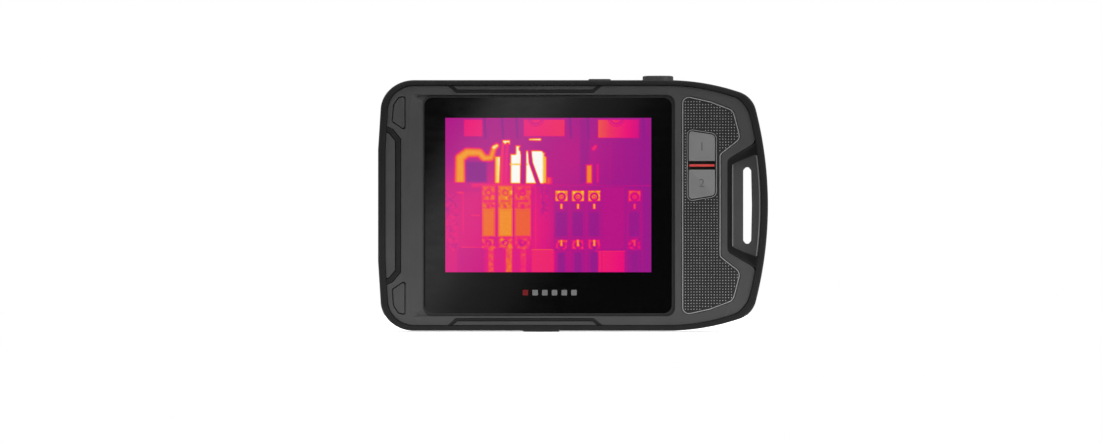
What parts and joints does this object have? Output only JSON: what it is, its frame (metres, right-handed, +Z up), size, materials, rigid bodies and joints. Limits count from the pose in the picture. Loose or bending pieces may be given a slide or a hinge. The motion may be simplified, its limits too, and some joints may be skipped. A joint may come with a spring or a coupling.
{
  "type": "thermal imaging camera",
  "caption": "Pocket thermal camera: flat rubber-edged case with a rear touch screen, side keys, top shutter button, front infrared lens, strap slot and tripod socket.",
  "frame": {"origin": "bottom centre of the bounding box, at the underside of the tripod foot, with the camera held upright", "axes": "+X towards the strap end (right when looking at the screen), +Y from the screen towards the lenses, +Z up towards the shutter button"},
  "size_m": [0.1326, 0.024, 0.0874],
  "materials": {
    "shell_plastic": "fine moulded grain",
    "bumper_rubber": "satin moulded",
    "seal_rubber": "matt",
    "screen_glass": "black-printed glass, polished",
    "display": "lit screen",
    "steel": "plain",
    "grip_rubber": "fine raised dots",
    "key_plastic": "satin",
    "red_plastic": "satin",
    "button_plastic": "satin",
    "circuit_board": "solder mask",
    "flex_film": "polyimide film",
    "magnesium": "as cast",
    "battery_wrap": "plain wrap",
    "tray_plastic": "moulded",
    "black_metal": "black anodised, satin",
    "germanium": "coated germanium, polished",
    "ceramic_package": "matt",
    "bezel_gloss": "piano black",
    "clear_lens": "polished window",
    "brass": "machined"
  },
  "bodies": {
    "camera_body": {"rear_cover": "shell_plastic", "front_cover": "shell_plastic", "screw_plug_upper": "shell_plastic", "screw_plug_lower": "shell_plastic", "bumper": "bumper_rubber", "case_seal": "seal_rubber", "screen_gasket": "seal_rubber", "keypad_membrane": "seal_rubber", "lens_seal": "seal_rubber", "cover_glass": "screen_glass", "lcd_panel": "display", "lcd_backlight": "steel", "processor_shield": "steel", "usb_c_port": "steel", "shutter_switch": "steel", "power_switch": "steel", "shutter_motor": "steel", "case_screw_upper_left": "steel", "case_screw_lower_left": "steel", "case_screw_upper_right": "steel", "case_screw_lower_right": "steel", "grip_panel": "grip_rubber", "key_divider": "red_plastic", "keypad_board": "circuit_board", "main_board": "circuit_board", "top_button_board": "circuit_board", "port_board": "circuit_board", "detector_board": "circuit_board", "display_flex": "flex_film", "inner_chassis": "magnesium", "battery": "battery_wrap", "battery_lead": "battery_wrap", "battery_tray": "tray_plastic", "battery_connector": "tray_plastic", "shutter_housing": "tray_plastic", "visible_camera": "tray_plastic", "lens_barrel": "black_metal", "lens_retaining_ring": "black_metal", "ir_lens_front": "germanium", "ir_lens_rear": "germanium", "detector_package": "ceramic_package", "torch_led": "ceramic_package", "lens_bezel": "bezel_gloss", "camera_window": "clear_lens", "torch_lens": "clear_lens", "tripod_insert": "brass"},
    "key_upper": {"key_upper": "key_plastic"},
    "key_lower": {"key_lower": "key_plastic"},
    "shutter_button": {"shutter_button": "button_plastic"},
    "power_button": {"power_button": "button_plastic"},
    "port_door": {"port_door": "bumper_rubber"},
    "shutter_flag": {"shutter_flag": "black_metal"}
  },
  "joints": [
    {"name": "key_upper_press", "type": "slide", "parent": "camera_body", "child": "key_upper", "axis": [0, 1, 0], "range_m": [0, 0.0006], "stiffness_N_per_m": 800, "springref_m": -0.0004},
    {"name": "key_lower_press", "type": "slide", "parent": "camera_body", "child": "key_lower", "axis": [0, 1, 0], "range_m": [0, 0.0006], "stiffness_N_per_m": 800, "springref_m": -0.0004},
    {"name": "shutter_press", "type": "slide", "parent": "camera_body", "child": "shutter_button", "axis": [0, 0, -1], "range_m": [0, 0.0009], "stiffness_N_per_m": 900, "springref_m": -0.0004},
    {"name": "power_press", "type": "slide", "parent": "camera_body", "child": "power_button", "axis": [0, 0, -1], "range_m": [0, 0.0003], "stiffness_N_per_m": 1500, "springref_m": -0.0003},
    {"name": "port_door_hinge", "type": "hinge", "parent": "camera_body", "child": "port_door", "pos_m": [-0.066, 0.00635, 0.04305], "axis": [0, 0, -1], "range_deg": [0, 110]},
    {"name": "shutter_flag_swing", "type": "hinge", "parent": "camera_body", "child": "shutter_flag", "pos_m": [-0.00235, 0.0023, 0.04555], "axis": [0, -1, 0], "range_deg": [0, 52]}
  ]
}
